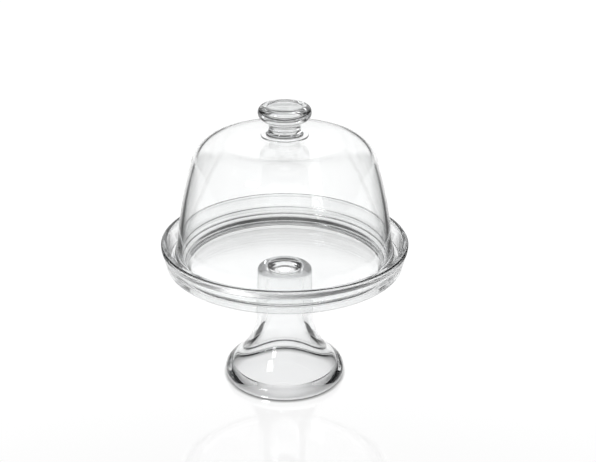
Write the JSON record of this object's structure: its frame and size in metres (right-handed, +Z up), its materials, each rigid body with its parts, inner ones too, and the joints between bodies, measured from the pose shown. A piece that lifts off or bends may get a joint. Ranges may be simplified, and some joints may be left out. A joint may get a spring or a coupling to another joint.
{
  "type": "footed cheese dome",
  "caption": "Clear glass bell with a waisted knob, standing inside the raised rim of a round plate on a hollow flared pedestal; covers and displays cheese or cake.",
  "frame": {"origin": "centre of the foot ring's resting circle, on the table", "axes": "+Z up along the common axis of foot, plate, dome and knob; every piece is round about it, so +X and +Y are any two square directions"},
  "size_m": [0.24, 0.24, 0.283],
  "materials": {
    "pedestal_glass": "clear pressed soda-lime glass, fire polished",
    "plate_glass": "clear pressed soda-lime glass, fire polished",
    "dome_glass": "clear pressed soda-lime glass, fire polished",
    "bond_film": "clear cured adhesive film",
    "knob_glass": "clear pressed soda-lime glass, fire polished"
  },
  "bodies": {
    "pedestal": {"pedestal": "pedestal_glass"},
    "plate": {"plate": "plate_glass"},
    "dome": {"dome": "dome_glass", "knob_bond": "bond_film", "knob": "knob_glass"}
  },
  "joints": [
    {"name": "plate_lift", "type": "slide", "parent": "pedestal", "child": "plate", "axis": [0, 0, 1], "range_m": [0, 0.06]},
    {"name": "dome_lift", "type": "slide", "parent": "plate", "child": "dome", "axis": [0, 0, 1], "range_m": [0, 0.16]}
  ]
}
